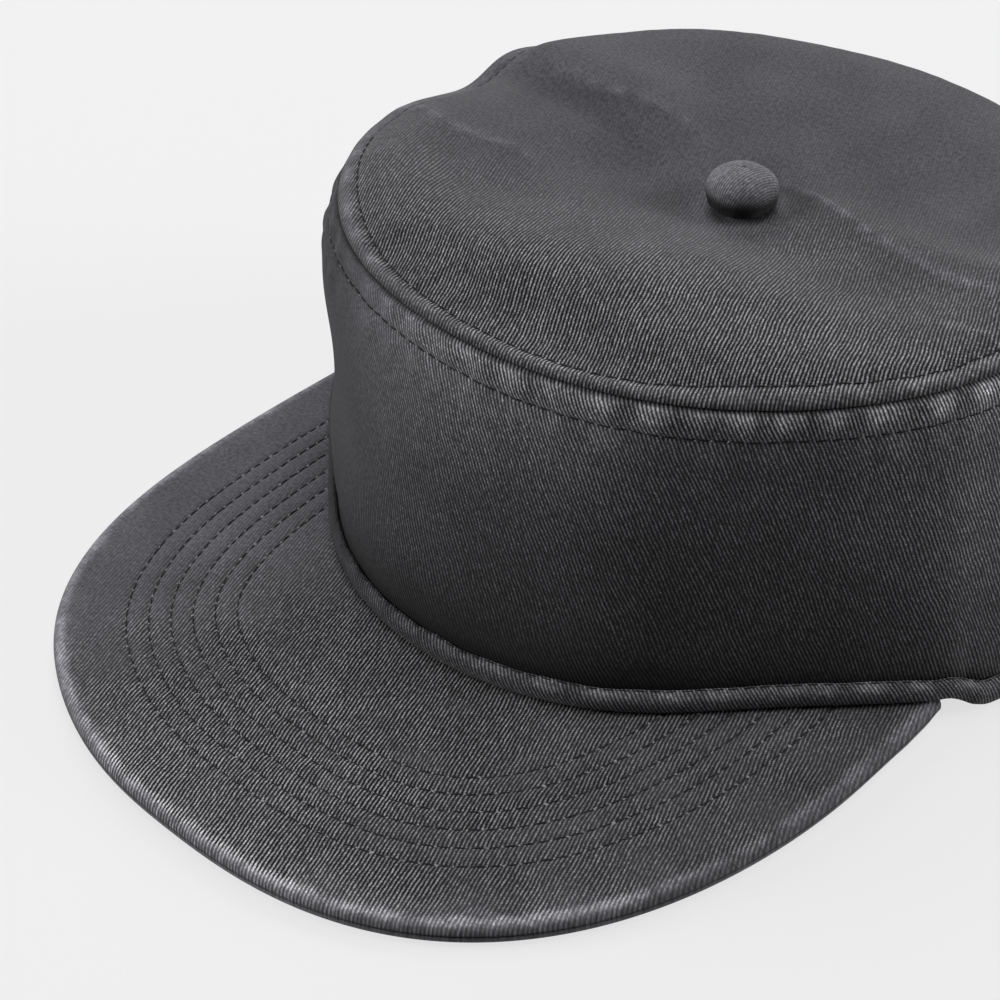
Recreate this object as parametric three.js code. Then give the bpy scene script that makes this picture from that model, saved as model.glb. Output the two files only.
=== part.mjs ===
// Flat brim cap of washed cotton twill: a round crown of a wall and a top panel,
// a covered button, a folded hem and a flat visor of two covers.
// Millimetres, +Z up, visor towards -Y. The origin is at the bottom centre of the cap's box.
import * as THREE from 'three';

// Overall sizes
const CROWN_Y = 33.8;          // the crown's axis behind the origin
const BASE_RADIUS = 96;        // outside of the hem, before its rows are added
const RIM_RADIUS = 83.2;       // seam between wall and top panel
const SEAM_HEIGHT = 71.2;
const CLOTH = 1.5;             // twill with its turnings
const GAP = 0.3;               // clearance between sewn pieces

// Hem
const HEM_HEIGHT = 5.5;
const HEM_PROUD = 2.1;         // how far the hem stands out from the wall
const HEM_DEPTH = 5.3;         // from its outside to the edge of its ledge
const LEDGE = 1;
const HEM_DROP_FROM = 68;      // degrees from the front, behind the visor's corners
const HEM_DROP_TO = 74.5;

// Wall
const DENT_FADE_TOP = 0.12;    // shares of the wall's height over which its dents die away
const DENT_FADE_FOOT = 0.08;

// Visor
const VISOR_HALF_WIDTH = 90;
const VISOR_WIDEST_Y = -50;    // from the crown's axis
const VISOR_REACH = 114.6;     // from the widest place to the front
const VISOR_ROUNDNESS = 2.55;
const VISOR_CORNER = 67.2;     // degrees from the front where its edge meets the hem
const VISOR_TOP = 4.4;
const VISOR_SEAM = 2.15;       // height of the seam along its edge
const VISOR_TUCK = 6;          // how far it reaches in under the hem
const EDGE_ROUNDING = 1.7;

// Top panel
const DOME = 0.5;              // rise of the middle over the rim, before the button's sink
const ROLL_WIDTH = 5;          // puffed turning between the seam and the stitching
const ROLL_HEIGHT = 1.3;
const FOLD_END = 4.5;          // length over which a fold dies away at its ends
const RIM_FLATNESS = 6;        // power that keeps the folds off the rim
const SHOULDER_START = 1.5;    // inwards from the seam, the rounded rise behind the turning
const SHOULDER_TOP = 10;
const SHOULDER_FALL = 14;
const SHOULDER_END = 60;
const BUTTON_SINK = 2.1;
const BUTTON_SINK_RADIUS = 23;

// Button
const BUTTON_RADIUS = 7.9;
const BUTTON_HEIGHT = 9;
const BUTTON_Y = 4;            // from the crown's axis
const BUTTON_LIFT = 1.5;       // from the panel's surface to the button's underside
const BUTTON_FACETS = 26;

// Counts of facets
const AROUND = 76;
const VISOR_STEPS = 56;
const EDGE_SAMPLES = 600;      // of the visor's outline, before it is spaced evenly

// Places where a ring differs from a circle: angle from the front, spread, change
const BASE_ROWS = [
  { name: 'front', angle: 2, spread: 20, change: 1.4 },
  { name: 'right flat', angle: 46, spread: 17, change: -5.4 },
  { name: 'left flat', angle: -43, spread: 21, change: -6.8 },
  { name: 'right corner', angle: 76, spread: 10, change: 2.4 },
  { name: 'left corner', angle: -76, spread: 10, change: 2.4 },
  { name: 'back', angle: 180, spread: 50, change: 1.0 },
];
const EDGE_ROWS = [   // of the visor's edge, changes to its distance from the crown's axis
  { name: 'right side', angle: 60, spread: 8.5, change: -1.15 },
  { name: 'left side', angle: -49, spread: 12, change: -1.1 },
  { name: 'left of the front', angle: -16, spread: 9, change: -1.3 },
];
const RIM_ROWS = [
  { name: 'front', angle: 0, spread: 22, change: -1.4 },
  { name: 'left swell', angle: -58, spread: 28, change: 2.1 },
  { name: 'left pinch', angle: -91, spread: 9, change: -2.6 },
  { name: 'rear left lobe', angle: -102, spread: 9, change: 1.4 },
];
const RIM_HEIGHT_ROWS = [
  { name: 'left pinch', angle: -91, spread: 10, change: -2.2 },
  { name: 'rear left lobe', angle: -102, spread: 7, change: 1.8 },
  { name: 'rear swell', angle: -133, spread: 18, change: 1.8 },
  { name: 'back dip', angle: 178, spread: 45, change: -3.6 },
];

// Rounded rise of the top panel just inside its turning, round the back
const SHOULDER_ROWS = [
  { name: 'front', angle: 0, spread: 45, change: -1 },
  { name: 'back', angle: 180, spread: 62, change: 5.2 },
  { name: 'left back', angle: -100, spread: 34, change: 2.7 },
  { name: 'right back', angle: 105, spread: 34, change: 3.4 },
  { name: 'left pinch', angle: -98, spread: 5, change: -3.1 },
];

// Swells of the wall: also the share of its height and the spread of that share
const WALL_ROWS = [
  { name: 'left shoulder', angle: -47, spread: 30, share: 0.78, rise: 0.24, change: 3.2 },
  { name: 'left foot', angle: -42, spread: 22, share: 0.14, rise: 0.12, change: 1.0 },
  { name: 'front right foot', angle: 35, spread: 30, share: 0.1, rise: 0.1, change: 0.8 },
  { name: 'front foot', angle: -20, spread: 18, share: 0.12, rise: 0.1, change: 0.8 },
];

// Folds of the top panel: a crest from one plan point to the other, measured from the crown's
// axis, its height, and its spread towards the front and towards the back
const FOLD_ROWS = [
  { name: 'right of the button', from: [2, 11], to: [89, -3], height: 4, front: 10, back: 7 },
  { name: 'left back', from: [-71, 27], to: [-27, 13], height: 3.2, front: 13, back: 11 },
  { name: 'front right, behind the crest', from: [-21, -71], to: [87, 1], height: 2.5, front: 11, back: 24 },
  { name: 'left hollow', from: [-37, -46], to: [-58, -27], height: -4.9, front: 14, back: 10 },
  { name: 'front crest', from: [-83, -59], to: [86, -60], height: 6.5, front: 9, back: 21 },
  { name: 'front right', from: [1, -26], to: [83, -48], height: 1.6, front: 16, back: 13 },
  { name: 'valley right of the button', from: [-6, 12], to: [73, -9], height: -5.4, front: 27, back: 8 },
  { name: 'front left', from: [-85, -47], to: [-38, -33], height: 6.5, front: 21, back: 23 },
  { name: 'valley left of the button', from: [-42, -3], to: [-12, -6], height: -3.1, front: 15, back: 14 },
  { name: 'back right', from: [14, 38], to: [62, -4], height: -2.8, front: 13, back: 19 },
];

// Shares of the wall's height where its two sides have a ring
const WALL_OUTSIDE = [0, 0.06, 0.13, 0.22, 0.34, 0.46, 0.58, 0.7, 0.8, 0.88, 0.94];
const WALL_INSIDE = [0.96, 0.86, 0.7, 0.5, 0.3, 0.12, 0];

// Turned edge of the wall under the seam: outwards from the rim, and down from the seam
const WALL_EDGE = [
  { out: 0.1, down: 1 },
  { out: -0.8, down: 0 },
  { out: -2.2, down: 0 },
];

// Face of the hem: inwards from its outside, and up from its underside
const HEM_FACE = [
  { inwards: 0.9, up: 0 },
  { inwards: 0.1, up: 1.2 },
  { inwards: 0, up: 3.2 },
  { inwards: 0.7, up: 4.9 },
];

// Shares of the rim's radius where the top panel has a ring, on its puffed turning and inside it
const TURNING_RINGS = [0.985, 0.97, 0.95, 0.93];
const PANEL_RINGS = [0.86, 0.76, 0.64, 0.52, 0.4, 0.28, 0.15];
const SEAM_RINGS = [0.99, 0.965];

// Outer part of a visor cover's section: inwards from the edge, and the share of the cover's
// thickness away from the seam
const COVER_EDGE = [
  { inwards: 0.25, share: 0 },
  { inwards: 0, share: 0.3 },
  { inwards: 0.5, share: 0.72 },
  { inwards: EDGE_ROUNDING, share: 1 },
];

// Half section of the button as shares of its radius and height
const BUTTON_SECTION = [
  { radius: 0, height: 0 },
  { radius: 0.55, height: 0 },
  { radius: 0.8, height: 0.1 },
  { radius: 0.95, height: 0.25 },
  { radius: 1, height: 0.44 },
  { radius: 0.97, height: 0.6 },
  { radius: 0.85, height: 0.78 },
  { radius: 0.64, height: 0.91 },
  { radius: 0.34, height: 0.98 },
  { radius: 0, height: 1 },
];

const degrees = THREE.MathUtils.degToRad;
const bump = (distance, spread) => Math.exp(-((distance / spread) ** 2));
const step = (distance) => 1 / (1 + Math.exp(-distance));
const turn = (angle) => THREE.MathUtils.euclideanModulo(angle + 180, 360) - 180;

// Sum of a table's rows at an angle in degrees
function rowSum(rows, angle) {
  return rows.reduce((sum, row) => sum + row.change * bump(turn(angle - row.angle), row.spread), 0);
}

const baseRadius = (angle) => BASE_RADIUS + rowSum(BASE_ROWS, angle);
const rimRadius = (angle) => RIM_RADIUS + rowSum(RIM_ROWS, angle);
const rimHeight = (angle) => SEAM_HEIGHT + rowSum(RIM_HEIGHT_ROWS, angle);
const wallFoot = (angle) => baseRadius(angle) - HEM_PROUD - GAP;

// Height of the hem's underside: over the visor in front, down on the surface behind it
function hemBottom(angle) {
  const dropped = THREE.MathUtils.smoothstep(Math.abs(turn(angle)), HEM_DROP_FROM, HEM_DROP_TO);
  return (VISOR_TOP + GAP) * (1 - dropped);
}

// Outer surface of the wall at a share of its height over the hem, as radius and height
function wallPoint(angle, share) {
  const dents = WALL_ROWS.reduce((sum, row) => sum
    + row.change * bump(turn(angle - row.angle), row.spread) * bump(share - row.share, row.rise), 0);
  const fade = Math.min(1, (1 - share) / DENT_FADE_TOP, share / DENT_FADE_FOOT);
  return [
    THREE.MathUtils.lerp(wallFoot(angle), rimRadius(angle), share) + dents * fade,
    THREE.MathUtils.lerp(hemBottom(angle) + HEM_HEIGHT, rimHeight(angle), share),
  ];
}

// Rise of one fold of the top panel at a plan point measured from the crown's axis
function foldHeight(fold, x, y) {
  const along = new THREE.Vector2(fold.to[0] - fold.from[0], fold.to[1] - fold.from[1]);
  const length = along.length();
  along.divideScalar(length);
  const away = new THREE.Vector2(x - fold.from[0], y - fold.from[1]);
  const place = away.dot(along);
  const side = along.cross(away);
  const ends = step(place / FOLD_END) * step((length - place) / FOLD_END);
  return fold.height * bump(side, side < 0 ? fold.front : fold.back) * ends;
}

// Height of the top panel's outer surface at a plan point measured from the crown's axis
function topHeight(x, y) {
  const angle = THREE.MathUtils.radToDeg(Math.atan2(x, -y));
  const share = Math.hypot(x, y) / rimRadius(angle);
  const fromRim = (1 - share) * rimRadius(angle);
  const folds = FOLD_ROWS.reduce((sum, fold) => sum + foldHeight(fold, x, y), 0);
  const shoulder = THREE.MathUtils.smoothstep(fromRim, SHOULDER_START, SHOULDER_TOP)
    * (1 - THREE.MathUtils.smoothstep(fromRim, SHOULDER_FALL, SHOULDER_END));
  return THREE.MathUtils.lerp(SEAM_HEIGHT, rimHeight(angle), share ** 2)
    + DOME * (1 - share ** 4)
    + folds * (1 - share ** RIM_FLATNESS)
    + ROLL_HEIGHT * bump(fromRim - ROLL_WIDTH / 2, ROLL_WIDTH / 3)
    + shoulder * rowSum(SHOULDER_ROWS, angle)
    - BUTTON_SINK * bump(Math.hypot(x, y - BUTTON_Y), BUTTON_SINK_RADIUS);
}

// Point on a ray from the crown's axis, at an angle from the front
function ray(angle, radius, z) {
  const turned = degrees(angle);
  return new THREE.Vector3(radius * Math.sin(turned), CROWN_Y - radius * Math.cos(turned), z);
}

// Angles of the crown's facets, with the middle of the front, of the back and of both sides;
// the nearest one to each visor corner is moved to where the hem starts to drop
const crownAngles = Array.from({ length: AROUND }, (_, i) => -180 + (360 * i) / AROUND)
  .map((angle) => (Math.abs(Math.abs(angle) - HEM_DROP_FROM) < 180 / AROUND
    ? Math.sign(angle) * HEM_DROP_FROM : angle));

// Geometry with its faces turned outward, by the sign of its volume
function closedGeometry(points, index) {
  let volume = 0;
  for (let i = 0; i < index.length; i += 3) {
    const [a, b, c] = index.slice(i, i + 3).map((n) => points[n]);
    volume += a.dot(new THREE.Vector3().crossVectors(b, c));
  }
  if (volume < 0) {
    index.reverse();
  }
  const geometry = new THREE.BufferGeometry().setFromPoints(points);
  geometry.setIndex(index);
  geometry.computeVertexNormals();
  return geometry;
}

// Two triangles for each place between one closed row of points and the next
function stitchRows(index, first, second, count) {
  for (let j = 0; j < count; j += 1) {
    const k = (j + 1) % count;
    index.push(first + j, second + j, second + k);
    index.push(first + j, second + k, first + k);
  }
}

// Ring round the crown from a section of radius and height pairs at each angle
function crownRing(section) {
  const rows = crownAngles.map((angle) => section(angle).map(([radius, z]) => ray(angle, radius, z)));
  const count = rows[0].length;
  const index = [];
  for (let i = 0; i < rows.length; i += 1) {
    stitchRows(index, i * count, ((i + 1) % rows.length) * count, count);
  }
  return closedGeometry(rows.flat(), index);
}

// Crown wall: outside up to the seam, over its turned edge, and back down inside
function crownWall() {
  return crownRing((angle) => {
    const rim = rimRadius(angle);
    const seam = rimHeight(angle) - GAP / 2;
    const foot = hemBottom(angle) + LEDGE + GAP;
    return [
      [wallFoot(angle), foot],
      ...WALL_OUTSIDE.map((share) => wallPoint(angle, share)),
      ...WALL_EDGE.map(({ out, down }) => [rim + out, seam - down]),
      ...WALL_INSIDE.map((share) => {
        const [radius, z] = wallPoint(angle, share);
        return [radius - CLOTH, z];
      }),
      [wallFoot(angle) - CLOTH, foot],
    ];
  });
}

// Folded hem round the foot of the wall, with a ledge that the wall stands on
function baseHem() {
  return crownRing((angle) => {
    const outer = baseRadius(angle);
    const z = hemBottom(angle);
    return [
      ...HEM_FACE.map(({ inwards, up }) => [outer - inwards, z + up]),
      [outer - HEM_PROUD, z + HEM_HEIGHT],
      [outer - HEM_PROUD, z + LEDGE],
      [outer - HEM_DEPTH, z + LEDGE],
      [outer - HEM_DEPTH, z],
    ];
  });
}

// Top panel: rings from the centre out over the turning to the seam, and back underneath
function crownTop() {
  const points = [new THREE.Vector3(0, CROWN_Y, topHeight(0, 0))];
  const surface = (share, drop) => crownAngles.map((angle) => {
    const radius = rimRadius(angle) * share;
    const turned = degrees(angle);
    return ray(angle, radius, topHeight(radius * Math.sin(turned), -radius * Math.cos(turned)) - drop);
  });
  const seam = (share) => crownAngles.map((angle) => (
    ray(angle, rimRadius(angle) * share, rimHeight(angle) + GAP / 2)));
  const rings = [
    ...[...TURNING_RINGS, ...PANEL_RINGS].reverse().map((share) => surface(share, 0)),
    ...SEAM_RINGS.map(seam),
    ...PANEL_RINGS.map((share) => surface(share, CLOTH)),
  ];
  points.push(...rings.flat(), new THREE.Vector3(0, CROWN_Y, topHeight(0, 0) - CLOTH));
  const index = [];
  for (let i = 1; i < rings.length; i += 1) {
    stitchRows(index, 1 + (i - 1) * AROUND, 1 + i * AROUND, AROUND);
  }
  const last = 1 + (rings.length - 1) * AROUND;
  for (let j = 0; j < AROUND; j += 1) {
    const k = (j + 1) % AROUND;
    index.push(0, 1 + j, 1 + k);
    index.push(last + j, points.length - 1, last + k);
  }
  return closedGeometry(points, index);
}

// Covered button: a thick dome with a turned-in skirt
function topButton() {
  const profile = BUTTON_SECTION.map(({ radius, height }) => (
    new THREE.Vector2(radius * BUTTON_RADIUS, height * BUTTON_HEIGHT)));
  const geometry = new THREE.LatheGeometry(profile, BUTTON_FACETS);
  geometry.rotateX(Math.PI / 2);
  geometry.translate(0, CROWN_Y + BUTTON_Y, topHeight(0, BUTTON_Y) + BUTTON_LIFT);
  return geometry;
}

// Plan points of the visor's edge, measured from the crown's axis, from one corner round the
// front to the other: straight sides and a superellipse, drawn in where the edge rows say
function visorEdge() {
  const power = 2 / VISOR_ROUNDNESS;
  const cornerY = -baseRadius(VISOR_CORNER) * Math.cos(degrees(VISOR_CORNER));
  const outline = [new THREE.Vector2(-VISOR_HALF_WIDTH, cornerY)];
  for (let i = 0; i <= EDGE_SAMPLES; i += 1) {
    const around = (Math.PI * i) / EDGE_SAMPLES;
    const side = -Math.cos(around);
    outline.push(new THREE.Vector2(
      VISOR_HALF_WIDTH * Math.sign(side) * Math.abs(side) ** power,
      VISOR_WIDEST_Y - VISOR_REACH * Math.abs(Math.sin(around)) ** power,
    ));
  }
  outline.push(new THREE.Vector2(VISOR_HALF_WIDTH, cornerY));
  outline.forEach((point) => {
    const angle = THREE.MathUtils.radToDeg(Math.atan2(point.x, -point.y));
    point.setLength(point.length() + rowSum(EDGE_ROWS, angle));
  });
  const path = new THREE.CurvePath();
  for (let i = 1; i < outline.length; i += 1) {
    path.add(new THREE.LineCurve(outline[i - 1], outline[i]));
  }
  return path.getSpacedPoints(VISOR_STEPS);
}

// One visor cover as sections from under the hem out to the edge, its first and last sections
// capped. It lies between the height of its seam side and that of its outer face.
function visorCover(seamSide, outerSide) {
  const rows = visorEdge().map((edge) => {
    const angle = THREE.MathUtils.radToDeg(Math.atan2(edge.x, -edge.y));
    const outer = edge.length();
    const inner = Math.min(baseRadius(angle), outer) - VISOR_TUCK;
    const middle = (inner + outer) / 2;
    return [
      ray(angle, inner, seamSide),
      ray(angle, middle, seamSide),
      ...COVER_EDGE.map(({ inwards, share }) => (
        ray(angle, outer - inwards, THREE.MathUtils.lerp(seamSide, outerSide, share)))),
      ray(angle, middle, outerSide),
      ray(angle, inner, outerSide),
    ];
  });
  const count = rows[0].length;
  const last = (rows.length - 1) * count;
  const index = [];
  for (let i = 1; i < rows.length; i += 1) {
    stitchRows(index, (i - 1) * count, i * count, count);
  }
  for (let j = 1; j < count - 1; j += 1) {
    index.push(0, j, j + 1);
    index.push(last, last + j + 1, last + j);
  }
  return closedGeometry(rows.flat(), index);
}

// Named mesh in twill of one colour
function piece(name, geometry, color) {
  const material = new THREE.MeshStandardMaterial({ color, roughness: 0.92, metalness: 0 });
  const mesh = new THREE.Mesh(geometry, material);
  mesh.name = name;
  return mesh;
}

const cap = new THREE.Group();
cap.add(piece('crown_wall', crownWall(), 0x3c3c3f));
cap.add(piece('crown_top', crownTop(), 0x58585b));
cap.add(piece('base_hem', baseHem(), 0x414144));
cap.add(piece('visor_top_cover', visorCover(VISOR_SEAM + GAP / 2, VISOR_TOP), 0x4a4a4d));
cap.add(piece('visor_under_cover', visorCover(VISOR_SEAM - GAP / 2, 0), 0x4a4a4d));
cap.add(piece('top_button', topButton(), 0x5c5c5f));

export default cap;
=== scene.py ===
"""Flat brim cap of washed cotton twill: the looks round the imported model.

Lengths are in millimetres and measured from the crown's axis, with the visor towards -y, until
metres() turns them into the frame's metres. Angles are in degrees round the crown from its front,
growing towards +x."""
import math

import bpy
import numpy as np
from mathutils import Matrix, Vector
from mathutils.kdtree import KDTree


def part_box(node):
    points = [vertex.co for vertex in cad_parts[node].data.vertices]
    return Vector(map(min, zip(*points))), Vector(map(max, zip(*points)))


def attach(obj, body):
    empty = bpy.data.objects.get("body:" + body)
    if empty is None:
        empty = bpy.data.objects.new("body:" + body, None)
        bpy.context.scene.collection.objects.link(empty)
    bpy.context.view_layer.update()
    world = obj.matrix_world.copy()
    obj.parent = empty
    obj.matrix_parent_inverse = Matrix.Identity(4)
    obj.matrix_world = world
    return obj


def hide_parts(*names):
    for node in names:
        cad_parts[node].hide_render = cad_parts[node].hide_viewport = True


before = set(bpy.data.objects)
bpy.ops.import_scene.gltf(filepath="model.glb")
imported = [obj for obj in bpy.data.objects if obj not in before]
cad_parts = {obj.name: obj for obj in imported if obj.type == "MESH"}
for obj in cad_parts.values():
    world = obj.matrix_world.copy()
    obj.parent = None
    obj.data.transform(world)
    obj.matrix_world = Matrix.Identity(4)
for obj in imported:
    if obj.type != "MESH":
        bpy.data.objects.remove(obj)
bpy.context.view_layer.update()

# Crown and visor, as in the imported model
CROWN_Y = 33.8            # of the crown's axis in the frame
BASE_RADIUS = 96.0
RIM_RADIUS = 83.2
SEAM_HEIGHT = 71.2
CLOTH = 1.5
GAP = 0.3                 # between pieces that are sewn together
HEM_HEIGHT = 5.5
HEM_PROUD = 2.1           # from the wall's outside to the hem's
LEDGE = 1.0               # of the hem, below the wall
HEM_DROP = (67.4, 74.2)   # where the hem comes down off the visor
VISOR_TOP = 4.4
VISOR_SEAM = 2.15
VISOR_TUCK = 6.0          # in under the hem

# Local changes: angle, spread, change. The first row of BASE_ROWS and the second of EDGE_ROWS are
# the cloth's own, so there it lies 1.5 mm further out and 1.4 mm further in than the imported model.
BASE_ROWS = [
    (8, 36, 1.5), (2, 20, 1.4), (46, 17, -5.4), (-43, 21, -6.8),
    (76, 10, 2.4), (-76, 10, 2.4), (180, 50, 1.0), (67, 6, 0.7),
]
EDGE_ROWS = [(60, 8.5, -1.15), (68, 2.6, -1.4), (-49, 12, -1.1), (-16, 9, -1.3)]   # visor's edge
RIM_ROWS = [(0, 22, -1.4), (-58, 28, 2.1), (-91, 9, -2.6), (-102, 9, 1.4)]
RIM_HEIGHT_ROWS = [(-91, 10, -2.2), (-102, 7, 1.8), (-133, 18, 1.8), (178, 45, -3.6)]
SHOULDER_ROWS = [
    (0, 45, -1.0), (180, 62, 5.2), (-100, 34, 2.7), (105, 34, 3.4), (-98, 5, -3.1),
]
SHOULDER_RISE = (1.5, 10)  # inwards from the seam
SHOULDER_FALL = (14, 60)
# angle, spread, share of the wall's height, its spread, change
WALL_ROWS = [
    (-47, 30, 0.78, 0.24, 3.2),
    (-42, 22, 0.14, 0.12, 1.0),
    (35, 30, 0.10, 0.10, 0.8),
    (-20, 18, 0.12, 0.10, 0.8),
]
# from x, y, to x, y, height, spread to the front, to the back
FOLD_ROWS = [
    (2, 11, 89, -3, 4.0, 10, 7),
    (-71, 27, -27, 13, 3.2, 13, 11),
    (-21, -71, 87, 1, 2.5, 11, 24),
    (-37, -46, -58, -27, -4.9, 14, 10),
    (-83, -59, 86, -60, 6.5, 9, 21),
    (1, -26, 83, -48, 1.6, 16, 13),
    (-6, 12, 73, -9, -5.4, 27, 8),
    (-85, -47, -38, -33, 6.5, 21, 23),
    (-42, -3, -12, -6, -3.1, 15, 14),
    (14, 38, 62, -4, -2.8, 13, 19),
]
# creases of the top panel: points along the line, spread, height, how worn
CREASES = [
    ([(1, 16.4), (7, 15.8), (17, 12.9), (27, 9.3), (38, 4.9), (46, 2.8), (56, -0.2), (69, -3.5)],
     1.3, 0.45, 0.3),
    ([(-67, 14.7), (-49, 13.2), (-39, 16), (-29, 17.7), (-20, 16.7)], 2.2, 0.35, 0.22),
    ([(-80, -20), (-64, -24), (-49, -20), (-42, -18)], 2.4, 0.35, 0.2),
    ([(62, -15), (69, -15.7), (77, -14)], 1.5, 0.3, 0.35),
]
BUTTON_Y = 4.0
BUTTON_RADIUS = 7.9
BUTTON_SINK = (2.1, 23)   # depth and spread of the hollow round the button
BUTTON_SKIRT = 0.55       # the button's cloth reaches down to the panel
DOME = 0.5

# Stitch rows
PITCH = 3.15
UPPER_ROW = 4.75          # inside the seam, on the top panel
LOWER_ROW = 6.1           # below the seam, on the wall
LOWER_ROW_ROWS = [(-32, 26, -1.25)]   # closer to the seam on the left
VISOR_ROWS = [15.2 + 4.65 * k for k in range(6)]   # in from the visor's edge

# Puffed turning of the top panel
ROLL_CREST = 2.3          # inwards from the seam
ROLL_LOW = 0.75           # its height at the stitch row

# Mean radii that turn angles into lengths round the crown
WALL_ARC = 90
TOP_ARC = 79
HEM_ARC = 94
HEM_MAP_ARC = 95

HEM_JOIN = 71.0           # where the hem's two ends meet
AROUND = 720              # points round the crown
RIPPLE_WAVES = 9          # in each sum of waves
SWELL_WAVES = 10


def bump(distance, spread):
    return np.exp(-((distance / spread) ** 2))


def smooth(x, low, high):
    s = np.clip((x - low) / (high - low), 0, 1)
    return s * s * (3 - 2 * s)


def turn(angle):
    return (angle + 180) % 360 - 180


def row_sum(rows, angle):
    return sum(change * bump(turn(angle - a), spread) for a, spread, change in rows)


def base_radius(angle):
    return BASE_RADIUS + row_sum(BASE_ROWS, angle)


def rim_radius(angle):
    return RIM_RADIUS + row_sum(RIM_ROWS, angle)


def rim_height(angle):
    return SEAM_HEIGHT + row_sum(RIM_HEIGHT_ROWS, angle)


def hem_bottom(angle):
    return (VISOR_TOP + GAP) * (1 - smooth(np.abs(turn(angle)), *HEM_DROP))


def lower_row(angle):
    """How far below the seam the wall's stitch row runs."""
    return LOWER_ROW + row_sum(LOWER_ROW_ROWS, angle)


def ripple(angle, low, high, seed):
    """A wavy line round the crown, about 1 high, with low to high waves in a turn."""
    rng = np.random.default_rng(seed)
    waves = rng.integers(low, high + 1, RIPPLE_WAVES)
    phases = rng.uniform(0, 2 * np.pi, RIPPLE_WAVES)
    a = np.radians(angle)[..., None] * waves + phases
    return np.cos(a).sum(-1) / math.sqrt(RIPPLE_WAVES)


def swell(x, y, length, seed):
    """Soft waves in all directions over a plane, about 1 high and length long."""
    rng = np.random.default_rng(seed)
    way = rng.uniform(0, 2 * np.pi, SWELL_WAVES)
    k = 2 * np.pi / (length * rng.uniform(0.7, 1.5, SWELL_WAVES))
    phase = rng.uniform(0, 2 * np.pi, SWELL_WAVES)
    a = x[..., None] * k * np.cos(way) + y[..., None] * k * np.sin(way) + phase
    return np.cos(a).sum(-1) / math.sqrt(SWELL_WAVES)


def ray(angle, radius, z):
    a = np.radians(angle)
    return np.stack(np.broadcast_arrays(radius * np.sin(a), -radius * np.cos(a), z), -1)


def sharpness(x, y, low, high):
    """Washing has flattened the ribs towards the wearer's right and the back."""
    return 0.1 + 0.9 * smooth(0.684 * x - 0.729 * y, low, high)


def far_side(angle, low=88, high=112):
    """1 on the far side of the crown, where the painted shade is eased and the cloth is even."""
    return smooth(np.abs(turn(angle - 8)), low, high)


# Surfaces

def wall_ends(angle):
    """Heights of the wall's foot and of its top."""
    return hem_bottom(angle) + HEM_HEIGHT, rim_height(angle) - GAP / 2


def wall_point(angle, share):
    """Outer side of the wall at a share of its height over the hem."""
    low = base_radius(angle) - HEM_PROUD - GAP
    foot, top = wall_ends(angle)
    below = (1 - share) * (top - foot)
    radius = low + (rim_radius(angle) - low) * share
    fade = np.clip(np.minimum((1 - share) / 0.12, share / 0.08), 0, 1)
    for a, spread, at, rise, change in WALL_ROWS:
        radius = radius + change * bump(turn(angle - a), spread) * bump(share - at, rise) * fade
    # puffed and puckered down to the stitch row, which lies in a groove with a soft ridge below it
    arc = np.radians(angle) * WALL_ARC
    pucker = ripple(angle, 28, 62, 3)
    fine = np.cos(2 * np.pi * arc / PITCH)
    puff = np.sin(np.pi * np.clip(below / (lower_row(angle) + 0.2), 0, 1)) ** 0.7
    radius = radius + puff * (0.5 + 0.24 * pucker)
    radius = radius - (0.26 + 0.05 * fine) * bump(below - lower_row(angle), 0.6)
    radius = radius + (0.14 + 0.16 * ripple(angle, 30, 70, 4)) * bump(below - 9, 2.8)
    # turned in at the seam, in soft waves below it, and drawn in over the hem's join
    radius = radius - 0.8 * (1 - np.clip(below / 0.9, 0, 1)) ** 2
    waves = swell(arc, below, 46, 5) * smooth(below, 6, 16) * smooth(share, 0, 0.15)
    radius = radius + 0.35 * waves
    radius = radius - 0.5 * bump(turn(angle - HEM_JOIN), 1.3) * bump(share - 0.06, 0.1)
    return ray(angle, radius, foot + (top - foot) * share)


def fold_height(x, y):
    total = 0
    for x0, y0, x1, y1, height, front, back in FOLD_ROWS:
        length = math.hypot(x1 - x0, y1 - y0)
        ux, uy = (x1 - x0) / length, (y1 - y0) / length
        place = (x - x0) * ux + (y - y0) * uy
        side = ux * (y - y0) - uy * (x - x0)
        ends = 1 / (1 + np.exp(-place / 4.5)) / (1 + np.exp((place - length) / 4.5))
        total = total + height * bump(side, np.where(side < 0, front, back)) * ends
    return total


def crease(x, y, line, spread):
    """1 along a line of points, falling away to its sides and towards its ends."""
    line = np.array(line, float)
    place = np.clip(x, line[0, 0], line[-1, 0])
    middle = np.interp(place, line[:, 0], line[:, 1])
    slope = np.interp(place, line[:, 0], np.gradient(line[:, 1], line[:, 0]))
    side = (y - middle) / np.hypot(1, slope)
    past = np.maximum(line[0, 0] - x, x - line[-1, 0])
    return bump(side, spread) / (1 + np.exp(past / 2.5))


def roll_height(q):
    """Puffed turning of the top panel at a distance inwards from the seam."""
    lip = 0.15 + 1.2 * np.sqrt(np.clip(1 - ((ROLL_CREST - q) / 1.86) ** 2, 0, 1))
    fall = np.clip((q - ROLL_CREST) / (UPPER_ROW - ROLL_CREST), 0, 1)
    down = ROLL_LOW + 0.6 * np.cos(np.pi / 2 * fall) ** 2
    inside = ROLL_LOW + 0.3 * smooth(q, UPPER_ROW, UPPER_ROW + 2.4)
    inside = inside * (1 - smooth(q, 10, 30))
    return np.where(q < ROLL_CREST, lip, np.where(q < UPPER_ROW, down, inside))


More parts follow.
